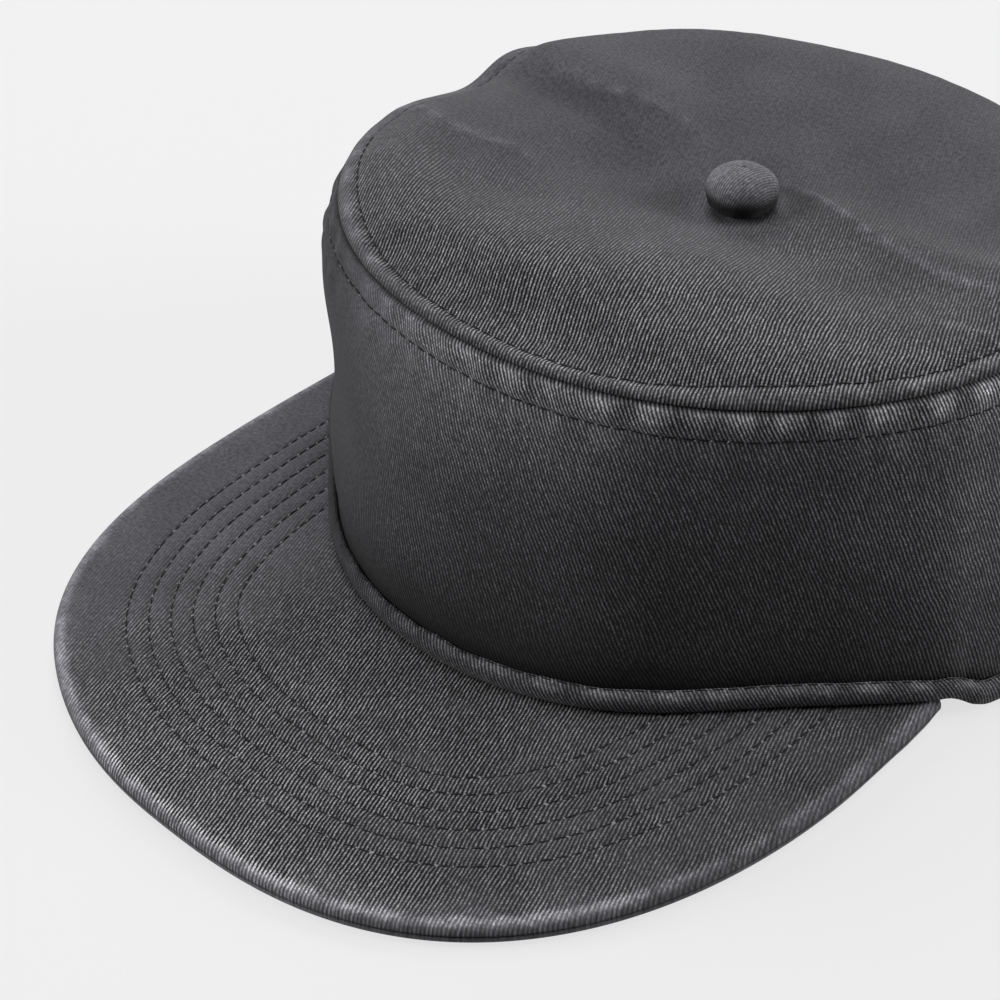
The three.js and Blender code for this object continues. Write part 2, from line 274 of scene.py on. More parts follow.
def panel_height(x, y):
    """The top panel without its turning."""
    angle = np.degrees(np.arctan2(x, -y))
    share = np.hypot(x, y) / rim_radius(angle)
    z = SEAM_HEIGHT + (rim_height(angle) - SEAM_HEIGHT) * share ** 2 + DOME * (1 - share ** 4)
    z = z + fold_height(x, y) * (1 - np.clip(share, 0, 1) ** 6)
    z = z - BUTTON_SINK[0] * bump(np.hypot(x, y - BUTTON_Y), BUTTON_SINK[1])
    for line, spread, height, _ in CREASES:
        z = z + height * crease(x, y, line, spread)
    inwards = (1 - share) * rim_radius(angle)
    shoulder = smooth(inwards, *SHOULDER_RISE) * (1 - smooth(inwards, *SHOULDER_FALL))
    z = z + row_sum(SHOULDER_ROWS, angle) * shoulder
    return z + 0.14 * swell(x, y, 24, 8) * (1 - share ** 4)


def top_point(angle, inwards):
    """Upper side of the top panel at a distance inwards from the seam."""
    p = ray(angle, rim_radius(angle) - inwards, 0.0)
    z = panel_height(p[..., 0], p[..., 1])
    # the turning is flatter and calmer at the sides and the back
    roll = roll_height(inwards)
    flat = 0.5 * smooth(np.abs(turn(angle - 25)), 62, 100)
    roll = roll + flat * (np.minimum(roll, 0.8) - roll)
    calm = 1 - 0.8 * smooth(np.abs(turn(angle - 15)), 70, 105)
    z = z + roll * (1 + 0.12 * calm * ripple(angle, 30, 66, 11) * (inwards < 12))
    # groove of the stitch row, and the puckers inside it
    fine = np.cos(np.radians(angle) * TOP_ARC * 2 * np.pi / PITCH)
    z = z - (0.11 + 0.05 * fine) * bump(inwards - UPPER_ROW, 0.5)
    z = z + 0.1 * calm * ripple(angle, 60, 110, 12) * bump(inwards - UPPER_ROW - 2.6, 2.4)
    p[..., 2] = z
    return p


# Mesh making

def metres(points):
    return (np.asarray(points, float) + (0, CROWN_Y, 0)) * 0.001


def make(name, points, faces, uv=None, wear=None, dye_and_shade=1.0, crisp=1.0):
    """Smooth mesh from points in millimetres and lists of corners; uv has one row a corner.
    wear pales the ribs, tone makes the cloth lighter or darker, partly as dye and partly as painted
    shade and light, and crisp sets how sharp the ribs are, each one value a point."""
    mesh = bpy.data.meshes.new(name)
    mesh.from_pydata(metres(points).tolist(), [], [list(map(int, f)) for f in faces])
    mesh.polygons.foreach_set("use_smooth", [True] * len(mesh.polygons))
    if uv is not None:
        layer = mesh.uv_layers.new(name="cloth")
        layer.data.foreach_set("uv", np.asarray(uv, np.float32).ravel())
    if wear is not None:
        for key, value in (("wear", wear), ("dye_and_shade", dye_and_shade), ("crisp", crisp)):
            attribute = mesh.attributes.new(key, "FLOAT", "POINT")
            values = np.broadcast_to(np.ravel(value), len(points)).astype(np.float32)
            attribute.data.foreach_set("value", values)
    mesh.validate()
    mesh.update()
    thing = bpy.data.objects.new(name, mesh)
    bpy.context.scene.collection.objects.link(thing)
    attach(thing, "root")
    return thing


def quads(rows, columns, close_rows, close_columns):
    """Corner indices of a grid's faces, and the same on a grid that doesn't close."""
    i, j = np.meshgrid(
        np.arange(rows if close_rows else rows - 1),
        np.arange(columns if close_columns else columns - 1),
        indexing="ij",
    )
    corners = [(0, 0), (1, 0), (1, 1), (0, 1)]
    wide = columns + (1 if close_columns else 0)
    at = [((i + a) % rows) * columns + (j + b) % columns for a, b in corners]
    flat = [(i + a) * wide + (j + b) for a, b in corners]
    return (np.stack([x.ravel() for x in at], 1), np.stack([x.ravel() for x in flat], 1))


def outward(points, faces):
    """Whether the four-cornered faces of a closed grid look outwards."""
    p = np.asarray(points)
    a, b, c, d = (p[faces[:, k]] for k in range(4))
    volume = (a * np.cross(b, c)).sum() + (a * np.cross(c, d)).sum()
    return volume > 0


def closed(points, grid, ends):
    """Faces of a grid and of its ends, all turned outwards, and all their corners in one row."""
    faces = grid.tolist() + ends
    if not outward(points, grid):
        faces = [face[::-1] for face in faces]
    return faces, np.concatenate(faces)


def ring(name, loops, uv, wear, dye_and_shade, crisp):
    """Closed body round the crown. loops is angles by section points by 3, uv one more each way."""
    rows, columns = loops.shape[:2]
    at, flat = quads(rows, columns, True, True)
    points = loops.reshape(-1, 3)
    if not outward(points, at):
        at, flat = at[:, ::-1], flat[:, ::-1]
    return make(name, points, at, uv.reshape(-1, 2)[flat.ravel()], wear.ravel(), dye_and_shade, crisp)


def lengths(points):
    """Length along a line of points, from 0."""
    steps = np.linalg.norm(np.diff(points, axis=0), axis=1)
    return np.concatenate([[0], np.cumsum(steps)])


def follow(points, along, at):
    """Points at the lengths at on a line of points, which lie at the lengths along."""
    return np.stack([np.interp(at, along, column) for column in points.T], -1)


def spaced(points, count):
    """count points evenly spaced along a line."""
    along = lengths(points)
    return follow(points, along, np.linspace(0, along[-1], count))


def directions(line):
    """Unit vectors along a line of points."""
    way = np.gradient(line, axis=0)
    return way / np.linalg.norm(way, axis=1)[:, None]


angles = -180 + 360 * np.arange(AROUND) / AROUND
angles_closed = -180 + 360 * np.arange(AROUND + 1) / AROUND

# Crown wall, cut flat as part of a ring: its ribs turn with it
CONE_REACH = 600.0        # radius of that ring at the floor's height
CONE_ANGLE = 0.978        # the part of it that the wall takes, in radians
# distance below the seam, tone: darker downwards, partly dye and partly painted shade
WALL_DYE_AND_SHADE = ([0, 6, 8, 14, 30, 48, 60], [1.38, 1.38, 1.24, 1.05, 0.74, 0.57, 0.53])
# angle, spread, distance below the seam, its spread, change of the tone: a patch of painted light
# and one of painted shade
WALL_SHADES = [(80, 25, 30, 14, 0.36), (50, 22, 9, 12, -0.26)]
below_top = np.concatenate([
    [0, 0.06, 0.15, 0.3, 0.5, 0.75], np.arange(1.0, 11, 0.33), np.arange(11, 61, 1.35)])


def wall_look(loops, foot, top):
    """Wear, tone and sharpness of the wall."""
    below = top[:, None] - loops[..., 2]
    above_foot = np.maximum((top - foot)[:, None] - below, 0)
    arc = angles[:, None] + 0 * below
    hidden = far_side(arc)
    left = smooth(arc, -8, -38) * (1 - hidden)
    # rubbed in patches at the seam, and a little above and below the stitch row
    patch = np.clip(0.55 + 0.5 * ripple(arc, 34, 84, 21), 0, 1.3) ** 1.4
    patch = patch * (0.14 + 0.86 * smooth(arc, -18, 42))
    other = np.clip(0.4 + 0.6 * ripple(arc, 24, 56, 22), 0, 1.3)
    wear = 1.45 * bump(below - 0.9, np.where(below < 0.9, 0.5, 2.2)) * patch
    wear = wear + 0.16 * bump(below - 8.5, 2.4) * other
    wear = wear + 0.14 * bump(below - 4.0, 1.4) * other * patch
    # the wall darkens downwards, to the left, in its middle, into the corner above the hem and at
    # the seam: painted shade, partly the dye
    dye_and_shade = np.interp(below, *WALL_DYE_AND_SHADE)
    for a, wide, at, tall, change in WALL_SHADES:
        dye_and_shade = dye_and_shade * (1 + change * bump(turn(arc - a), wide) * bump(below - at, tall))
    dye_and_shade = dye_and_shade * (1 - left * (0.27 + 0.4 * bump(below - 5, 13)))
    middle = bump(turn(arc - 12), 28) * smooth(below, 14, 30) * smooth(62 - below, 0, 10)
    dye_and_shade = dye_and_shade * (1 - 0.2 * middle)
    corner = 0.4 * bump(above_foot, 1.6) + 0.6 * bump(above_foot, 9) * bump(turn(arc), 48)
    dye_and_shade = dye_and_shade * (1 - corner * (1 - hidden))
    dye_and_shade = dye_and_shade * (1 - 0.32 * bump(above_foot, 10) * bump(turn(arc - 2), 20))
    dye_and_shade = dye_and_shade * (1 - 0.6 * bump(below, 0.45))
    crisp = 0.76 * sharpness(loops[..., 0], loops[..., 1], 20, 68) - 0.05
    crisp = np.maximum(crisp, 0.45 * hidden) * (1 + 0.3 * bump(below - 2.5, 2.5))
    crisp = crisp * (1 - 0.6 * bump(above_foot, 9) * bump(turn(arc), 32))
    wear = wear * (0.45 + 0.9 * crisp) * (1 - 0.75 * left)
    return np.clip(wear, 0, 1), dye_and_shade, crisp


def crown_wall():
    foot, top = wall_ends(angles)
    share = np.clip(1 - np.outer(1 / (top - foot), below_top[::-1]), 0.0, 1)
    outer = wall_point(angles[:, None], share)
    inner_share = np.tile(np.linspace(0.985, 0, 18), (AROUND, 1))
    inner = wall_point(angles[:, None], inner_share)
    inner_radius = np.hypot(inner[..., 0], inner[..., 1]) - CLOTH - 0.6 * bump(inner_share - 1, 0.1)
    inner = ray(angles[:, None], inner_radius, inner[..., 2])
    low = base_radius(angles) - HEM_PROUD - GAP
    on_ledge = hem_bottom(angles) + LEDGE + GAP
    start = ray(angles, low, on_ledge)
    end = ray(angles, low - CLOTH, on_ledge)
    lip = ray(angles, rim_radius(angles) - 2.2, top)
    loops = np.concatenate([start[:, None], outer, lip[:, None], inner, end[:, None]], 1)
    z = np.concatenate([loops[..., 2], loops[:, :1, 2]], 1)
    reach = CONE_REACH - np.concatenate([z, z[:1]], 0)
    cone = (np.radians(angles_closed) * CONE_ANGLE / (2 * np.pi))[:, None]
    uv = np.stack([reach * np.sin(cone), CONE_REACH - reach * np.cos(cone)], -1)
    return ring("crown_wall_cloth", loops, uv, *wall_look(loops, foot, top))


# Top panel
def top_look(grid, rim):
    """Wear, tone and sharpness of the top panel."""
    x, y = grid[..., 0], grid[..., 1]
    d = rim[:, None] - np.hypot(x, y)
    arc = angles[:, None] + 0 * d
    patch = np.clip(0.6 + 0.4 * ripple(arc, 26, 60, 31), 0, 1.4)
    wear = 0.36 * bump(d - 2.6, 1.4) * patch * (1 - 0.75 * far_side(arc, 95, 120))
    # the ribs are clear at the front and right of the button, and fainter on the puffed turning
    crisp = 0.08 + 0.98 * smooth(0.32 * x - 0.95 * y, -15, 61) ** 1.1
    crisp = crisp + 0.34 * bump(np.hypot(x - 24, y - 1), 20)
    dye_and_shade = 0.85 + 0.16 * crisp
    crisp = crisp * (1 - 0.5 * bump(d - 1.2, 2.6) * smooth(-x, -10, 45))
    crisp = crisp * (1 - 0.25 * bump(d - 1.2, 1.8))
    # creases are worn in broken lines, with a line of painted shade in front of them
    broken = np.clip(0.65 + 0.5 * swell(x, y, 8, 33), 0, 1.5)
    for line, spread, _, worn in CREASES:
        wear = wear + worn * crease(x, y, line, 0.8 * spread) * broken
        dye_and_shade = dye_and_shade - 0.06 * crease(x, y + 2.6, line, 2.4)
    # painted shade in a hollow on the left and in the seam at the rim, and painted light round the
    # button against its shadow
    dye_and_shade = dye_and_shade * (1 - 0.1 * bump(x + 52, 24) * bump(y - 6, 8))
    dye_and_shade = dye_and_shade * (1 - 0.4 * bump(d - 0.45, 0.5))
    around_button = np.hypot(x, y - BUTTON_Y) - BUTTON_RADIUS
    dye_and_shade = dye_and_shade * (1 + 0.5 * bump(np.maximum(around_button, 0), 2.6))
    return np.clip(wear, 0, 1).ravel(), dye_and_shade.ravel(), crisp.ravel()


def crown_top():
    at_seam = np.concatenate([[0.45, 0.47, 0.52, 0.6, 0.72, 0.9, 1.1], np.arange(1.35, 9, 0.3)])
    rim = rim_radius(angles)
    share = np.linspace(1, 0.02, 66)[1:]
    to_centre = rim[:, None] - (rim[:, None] - at_seam[-1]) * share
    depth = np.concatenate([np.tile(at_seam, (AROUND, 1)), to_centre], 1)
    upper = top_point(angles[:, None], depth)
    under_depth = rim[:, None] - (rim[:, None] - 6) * np.linspace(1, 0.02, 14)
    under = top_point(angles[:, None], under_depth)
    under[..., 2] -= CLOTH + 0.4
    seam_height = rim_height(angles) + GAP / 2
    seam, seam_in = (ray(angles, rim - inwards, seam_height)[:, None] for inwards in (0.5, 3.0))
    grid = np.concatenate([upper[:, ::-1], seam, seam_in, under], 1)
    rows, columns = grid.shape[:2]
    at, _ = quads(rows, columns, True, False)
    points = grid.reshape(-1, 3)
    # the grid runs from the centre out, so its two ends close with one face each
    first = [i * columns for i in range(rows)]
    last = [i * columns + columns - 1 for i in range(rows)]
    faces, corners = closed(points, at, [first[::-1], last])
    return make("crown_top_cloth", points, faces, points[corners, :2], *top_look(grid, rim))


# Hem: inwards from its outside and up from its underside
HEM_SECTION = [
    (2.6, 0.05), (1.6, 0.0), (0.95, 0.15), (0.5, 0.55), (0.2, 1.1), (0.04, 1.8), (0.0, 2.5),
    (0.06, 3.2), (0.24, 3.85), (0.52, 4.4), (0.9, 4.85), (1.3, 5.15), (1.65, 5.3), (1.95, 5.25),
    (2.12, 5.0), (2.2, 4.5), (2.2, 3.0), (2.2, 1.3), (2.4, 1.0), (3.8, 1.0), (5.1, 1.0),
    (5.3, 0.85), (5.3, 0.15), (5.1, 0.0), (3.8, 0.0),
]


def hem_point(angle, inwards, up):
    """Surface of the hem at a place of its section."""
    arc = np.radians(angle) * HEM_ARC
    swollen = 1 + 0.05 * ripple(angle, 30, 60, 41)
    join = bump(turn(angle - HEM_JOIN - up * 0.35), 0.9) * 0.45 * (inwards < 2)
    # lower where it leaves the visor and higher where it reaches the floor
    up = up * (1 - 0.12 * bump(turn(angle - 66.5), 2.5) + 0.2 * bump(turn(angle - 74), 3.0))
    pucker = 0.035 * np.cos(2 * np.pi * arc / PITCH) * bump(up - 5.2, 0.5)
    height = hem_bottom(angle) + up * (1 + 0.02 * ripple(angle, 20, 50, 42)) - pucker
    return ray(angle, base_radius(angle) - inwards * swollen + join, height)


def base_hem():
    section = np.array(HEM_SECTION)
    loops = hem_point(angles[:, None], section[:, 0], section[:, 1])
    along = lengths(np.vstack([section, section[:1]]))
    arc = np.radians(angles_closed) * HEM_MAP_ARC
    uv = np.stack(np.broadcast_arrays(arc[:, None], along), -1)
    a = angles[:, None] + 0 * loops[..., 0]
    hidden = far_side(a)
    # painted light and shade: the hem is lightest at 35 degrees round, darker away from it and at
    # -12, and evened out on the far side
    dye_and_shade = 0.2 + 1.05 * bump(turn(a - 35), 42)
    dye_and_shade = dye_and_shade * (1 - 0.25 * bump(turn(a + 12), 26)) + 0.4 * hidden
    crisp = 0.72 * np.maximum(sharpness(loops[..., 0], loops[..., 1], 10, 75), 0.8 * hidden)
    # rubbed along its outer upper edge
    wear = bump(section[:, 1] - 4.6, 0.9) * (section[:, 0] < 2)
    wear = wear * (0.5 + 0.4 * ripple(a, 30, 80, 43))
    wear = wear * (0.1 + 1.1 * crisp) * (0.25 + 0.75 * smooth(turn(a), -30, 25))
    return ring("base_hem_cloth", loops, uv, np.clip(wear, 0, 1), dye_and_shade, crisp)


# Visor
VISOR_HALF_WIDTH = 90.0
VISOR_WIDEST_Y = -50.0
VISOR_REACH = 114.6
VISOR_ROUNDNESS = 2.55
VISOR_CORNER = 67.2       # angle
UNDER_RELIEF = 0.4        # share of the upper cover's relief on the under cover


def visor_edge():
    around = np.linspace(0, np.pi, 4001)
    power = 2 / VISOR_ROUNDNESS
    side = -np.cos(around)
    x = VISOR_HALF_WIDTH * np.sign(side) * np.abs(side) ** power
    y = VISOR_WIDEST_Y - VISOR_REACH * np.abs(np.sin(around)) ** power
    corner = -base_radius(VISOR_CORNER) * math.cos(math.radians(VISOR_CORNER))
    line = np.stack([x, y], 1)
    line = np.vstack([[-VISOR_HALF_WIDTH, corner], line, [VISOR_HALF_WIDTH, corner]])
    reach = np.hypot(line[:, 0], line[:, 1])
    change = row_sum(EDGE_ROWS, np.degrees(np.arctan2(line[:, 0], -line[:, 1])))
    line *= (1 + change / reach)[:, None]
    return spaced(line, 4000)


EDGE = visor_edge()
EDGE_ALONG = lengths(EDGE)
edge_tree = KDTree(len(EDGE))
for number, (ex, ey) in enumerate(EDGE):
    edge_tree.insert((ex, ey, 0), number)
edge_tree.balance()


def from_edge(x, y):
    """Distance in from the visor's edge, and the place along the edge."""
    found = [edge_tree.find((a, b, 0)) for a, b in zip(np.ravel(x), np.ravel(y))]
    distance = np.array([f[2] for f in found]).reshape(np.shape(x))
    place = EDGE_ALONG[[f[1] for f in found]].reshape(np.shape(x))
    return distance, place


def visor_relief(x, y, d, along):
    """Quilting of a visor cover: a groove at each stitch row, and soft waves."""
    z = 0.10 * swell(x, y, 40, 51) * smooth(d, 1, 10)
    for k, row in enumerate(VISOR_ROWS):
        fine = np.cos(2 * np.pi * along / PITCH + k)
        z = z - (0.20 + 0.07 * fine) * bump(d - row, 0.6)
        z = z + 0.07 * bump(d - row - 2.3, 1.3)
    return z


# distances in from the edge, where the cover rounds down to its seam
EDGE_STEPS = [0.0, 0.02, 0.07, 0.15, 0.27, 0.42, 0.6, 0.82, 1.1, 1.4, 1.8, 2.3]


def rounding(e, width):
    """Rises from 0 at the edge to 1 at width from it, steeply at first."""
    power = 2.3
    return (1 - (1 - np.clip(e / width, 0, 1)) ** power) ** (1 / power)


def visor_look(points, d, along, seam_z, upper):
    """Wear, tone and sharpness of a cover, from the distance in from its edge and along it."""
    x, y = points[:, 0], points[:, 1]
    wobble = np.clip(0.75 + 0.3 * swell(along, d, 9, 55), 0.3, 1.3)
    wear = 1.4 * bump(d - 1.6, 1.1) * wobble + 0.14 * bump(d - 4, 3.0) * wobble
    # darker towards the sides: partly painted shade, partly the dye
    dye_and_shade = 1.06 - 0.14 * smooth(x, 5, 60) - 0.09 * smooth(-x, 45, 75)
    crisp = (0.04 + 0.96 * smooth(x, -82, -8)) * (1.22 - 0.5 * smooth(x, -5, 75))
    crisp = crisp * (1 + 0.15 * swell(x, y, 17, 57))
    crisp = crisp * (0.3 + 0.7 * smooth(0.68 * x - 0.73 * y, 10, 85))
    crisp = np.clip(crisp, 0.04, 1.3)
    if upper:
        crisp = crisp * (1 - 0.5 * bump(d - 0.3, 1.2))
    else:
        wear = 0.2 * wear
        # the under cover's edge, which faces down into shade, is painted lighter
        dye_and_shade = dye_and_shade * (1 + 0.25 * bump(d, 1.8))
        crisp = crisp * (1 - 0.97 * bump(d, 5))
    wear = np.clip(1.55 * wear, 0, 1.8) * (0.55 + 0.45 * crisp)
    wear = wear * (1 - 0.6 * smooth(x, 72, 87)) * (1 - 0.3 * smooth(-x, 10, 80))
    # painted shade near the right corner
    dye_and_shade = dye_and_shade * (1 - 0.2 * smooth(x, 70, 86) * bump(d - 4, 9))
    # the two covers turn in to their seam, where the edge is painted darkest as shade
    turned_in = bump(points[:, 2] - seam_z, 0.16) * (d < 1.2)
    dye_and_shade = dye_and_shade * (1 - (0.6 if upper else 0.3) * turned_in)
    return wear * (1 - turned_in), dye_and_shade, crisp


def visor_cover(name, seam_z, face_z, columns, rows):
    upper = face_z > seam_z
    edge = spaced(EDGE, columns)
    angle = np.degrees(np.arctan2(edge[:, 0], -edge[:, 1]))
    outer = np.hypot(edge[:, 0], edge[:, 1])
    inner = np.minimum(base_radius(angle), outer) - VISOR_TUCK
    # lean is 1 where a ray from the crown's axis meets the edge squarely
    tangent = directions(edge)
    out = edge / outer[:, None]
    lean = np.abs(tangent[:, 0] * out[:, 1] - tangent[:, 1] * out[:, 0])[:, None]
    steps = np.array(EDGE_STEPS)[None, :] / lean
    rest = np.linspace(0, 1, rows + 1)[1:]
    span = (outer - inner)[:, None]
    inwards = np.concatenate([steps, steps[:, -1:] + (span - steps[:, -1:]) * rest], 1)
    face = ray(angle[:, None], outer[:, None] - inwards, 0.0)
    d, along = from_edge(face[..., 0], face[..., 1])
    rounded = rounding(np.minimum(inwards * lean, 50), 2.3 if upper else 1.3)
    z = seam_z + (face_z - seam_z) * rounded
    relief = visor_relief(face[..., 0], face[..., 1], d, along)
    if upper:
        face[..., 2] = z + relief
    else:
        # the under cover thins out towards the two corners
        ends = np.minimum(along, EDGE_ALONG[-1] - along)
        z = seam_z + (z - seam_z) * (0.08 + 0.92 * smooth(ends, 0, 5))
        face[..., 2] = z - relief * UNDER_RELIEF
    back_radius = inner[:, None] + span * np.array([0, 0.3, 0.6, 0.85])
    back_radius = np.concatenate([back_radius, outer[:, None] - 0.5 / lean], 1)
    back = ray(angle[:, None], back_radius, float(seam_z))
    loops = np.concatenate([face, back], 1)
    count = loops.shape[1]
    at, _ = quads(columns, count, False, True)
    points = loops.reshape(-1, 3)
    first = list(range(count))
    last = [(columns - 1) * count + k for k in range(count)]
    faces, corners = closed(points, at, [first, last[::-1]])
    # the cover's inner side takes the looks of its middle
    all_along = np.concatenate([along, np.tile(along[:, :1], (1, back.shape[1]))], 1).ravel()
    all_d = np.concatenate([np.minimum(d, 60), np.full(back.shape[:2], 30.0)], 1).ravel()
    look = visor_look(points, all_d, all_along, seam_z, upper)
    return make(name, points, faces, points[corners, :2], *look)


# Button: share of its radius and of its height, from the top down
BUTTON_PROFILE = [
    (0.0, 1.0), (0.14, 0.997), (0.28, 0.985), (0.42, 0.96), (0.55, 0.922), (0.67, 0.87),
    (0.77, 0.815), (0.86, 0.745), (0.93, 0.66), (0.975, 0.57), (1.0, 0.47), (1.0, 0.37),
    (0.985, 0.27), (0.95, 0.175), (0.9, 0.1), (0.83, 0.04), (0.74, 0.008), (0.4, 0.0), (0.0, 0.0),
]
BUTTON_AROUND = 144


def top_button():
    low, high = (np.array(c) * 1000 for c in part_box("top_button"))
    bottom, height = low[2] - BUTTON_SKIRT, high[2] - low[2] + BUTTON_SKIRT
    profile = np.array(BUTTON_PROFILE)
    steps = np.linspace(0, 1, 55)
    wide, tall = (np.interp(steps, np.linspace(0, 1, len(profile)), c) for c in profile.T)
    a = 360 * np.arange(BUTTON_AROUND) / BUTTON_AROUND
    # the cloth is gathered in small folds under the side, and the outline isn't quite round
    gather = 0.12 * np.cos(np.radians(a)[:, None] * 12 + 1) * bump(tall[None, 1:-1] - 0.12, 0.14)
    radius = wide[None, 1:-1] * (BUTTON_RADIUS + gather)
    soft = 0.10 * ripple(a, 2, 5, 61)[:, None] * wide[None, 1:-1]
    grid = ray(a[:, None], radius + soft, bottom + height * tall[None, 1:-1] + 0 * radius)
    points = grid.reshape(-1, 3) + (0, BUTTON_Y, 0)
    top, under = len(points), len(points) + 1
    points = np.vstack([points, [[0, BUTTON_Y, bottom + height], [0, BUTTON_Y, bottom]]])
    columns = grid.shape[1]
    at, _ = quads(BUTTON_AROUND, columns, True, False)
    caps = []
    for i in range(BUTTON_AROUND):
        k = (i + 1) % BUTTON_AROUND
        caps.append([top, i * columns, k * columns])
        caps.append([under, k * columns + columns - 1, i * columns + columns - 1])
    faces, corners = closed(points, at, caps)
    # the cloth is drawn over the button, so its map runs on down the side
    run = lengths(np.stack([wide, tall * height / BUTTON_RADIUS], 1))
    reach = np.append(np.tile(run[1:-1], BUTTON_AROUND), [0, run[-1]]) * BUTTON_RADIUS
    away = points[:, :2] - (0, BUTTON_Y)
    away = away / np.maximum(np.hypot(away[:, 0], away[:, 1]), 1e-6)[:, None]
    up = (points[:, 2] - bottom) / height
    # the ribs are paler on top, and the side is painted dark towards the panel as shade
    wear = 0.45 * bump(up - 0.85, 0.3)
    dye_and_shade = 0.93 - 0.83 * smooth(0.56 - up, 0, 0.27)
    uv = (away * reach[:, None])[corners]
    return make("top_button_cloth", points, faces, uv, wear, dye_and_shade, 0.42)


# Stitches
SIDES = 6
# place along the thread in lengths, height and thickness
STITCH_ROWS = [
    (-0.5, -0.32, 0.5), (-0.44, -0.02, 0.85), (-0.25, 0.12, 1.0), (0.0, 0.15, 1.05),
    (0.25, 0.12, 1.0), (0.44, -0.02, 0.85), (0.5, -0.32, 0.5),
]
FLECK_ROWS = [(-0.22, 0.0, 0.4), (-0.08, 0.1, 1.0), (0.1, 0.12, 1.0), (0.24, 0.02, 0.4)]
THREAD = (0.18, 0.14)      # half width and half height
FLECK = (0.17, 0.12)
STITCH_LENGTH = 2.55
VISOR_LINE_POINTS = 700


def stitches(name, lines, seed, pale=0.12, size=THREAD):
    """Stitches along lines of surface points and outward normals, joined into one mesh.
    A share pale of them has a fleck of pale fibre at one end."""
    rng = np.random.default_rng(seed)
    verts, faces, kinds = [], [], []

    def capsule(centre, along, up, rows, size, kind):
        across = np.cross(along, up)
        start = len(verts)
        for place, lift, wide in rows:
            for k in range(SIDES):
                a = 2 * np.pi * k / SIDES
                verts.append(centre + along * place + up * (lift + math.sin(a) * size[1] * wide)
                             + across * math.cos(a) * size[0] * wide)
        n = len(rows)
        for i in range(n - 1):
            for k in range(SIDES):
                m = (k + 1) % SIDES
                faces.append([start + i * SIDES + k, start + i * SIDES + m,
                              start + (i + 1) * SIDES + m, start + (i + 1) * SIDES + k])
        faces.append([start + k for k in range(SIDES)][::-1])
        faces.append([start + (n - 1) * SIDES + k for k in range(SIDES)])
        kinds.extend([kind] * ((n - 1) * SIDES + 2))

    for points, normals in lines:
        along = lengths(points)
        for i in range(int(along[-1] // PITCH)):
            at = (i + 0.5) * PITCH + rng.normal(0, 0.05)
            c, a, b = (follow(points, along, at + k * STITCH_LENGTH / 2) for k in (0, -1, 1))
            up = follow(normals, along, at)
            way = b - a
            way /= np.linalg.norm(way)
            up -= way * (up @ way)
            up /= np.linalg.norm(up)
            way = way + np.cross(up, way) * rng.normal(0, 0.035)
            thick = np.array(size) * rng.uniform(0.9, 1.12)
            rows = [(p * STITCH_LENGTH * rng.uniform(0.97, 1.03), h, w) for p, h, w in STITCH_ROWS]
            capsule(c, way, up, rows, thick, 0)
            if rng.random() < pale:
                end = c + way * (STITCH_LENGTH / 2 + 0.25)
                askew = way + 0.6 * rng.normal() * np.cross(up, way)
                capsule(end, askew, up, FLECK_ROWS, FLECK, 1)
    thing = make(name, verts, faces)
    thing.data.polygons.foreach_set("material_index", kinds)
    return thing


def surface_line(surface, *places):
    """Points and outward normals along a line on a surface(a, b)."""
    a, b = np.broadcast_arrays(*(np.asarray(p, float) for p in places))
    p = surface(a, b)
    e = 0.05
    normal = np.cross(surface(a + e, b) - surface(a - e, b), surface(a, b + e) - surface(a, b - e))
    normal /= np.linalg.norm(normal, axis=1)[:, None]
    return p, normal


def visor_line(row):
    """A stitch row of the visor, from under the hem to under the hem."""
    tangent = directions(EDGE)
    inward = np.stack([-tangent[:, 1], tangent[:, 0]], 1)
    line = EDGE + inward * row
    angle = np.degrees(np.arctan2(line[:, 0], -line[:, 1]))
    shown = np.hypot(line[:, 0], line[:, 1]) > base_radius(angle) - 1.5
    return spaced(line[shown], VISOR_LINE_POINTS)


# Materials
LIT_MEAN = 0.25            # mean share of the ribs' pale colour
BEAD_LENGTH = 0.66         # of one float of the yarn
BEAD_STAGGER = 0.37        # from one rib to the next
RIB_DEPTH = 0.00015        # metres
MOTTLE = 0.13              # how much the dye varies


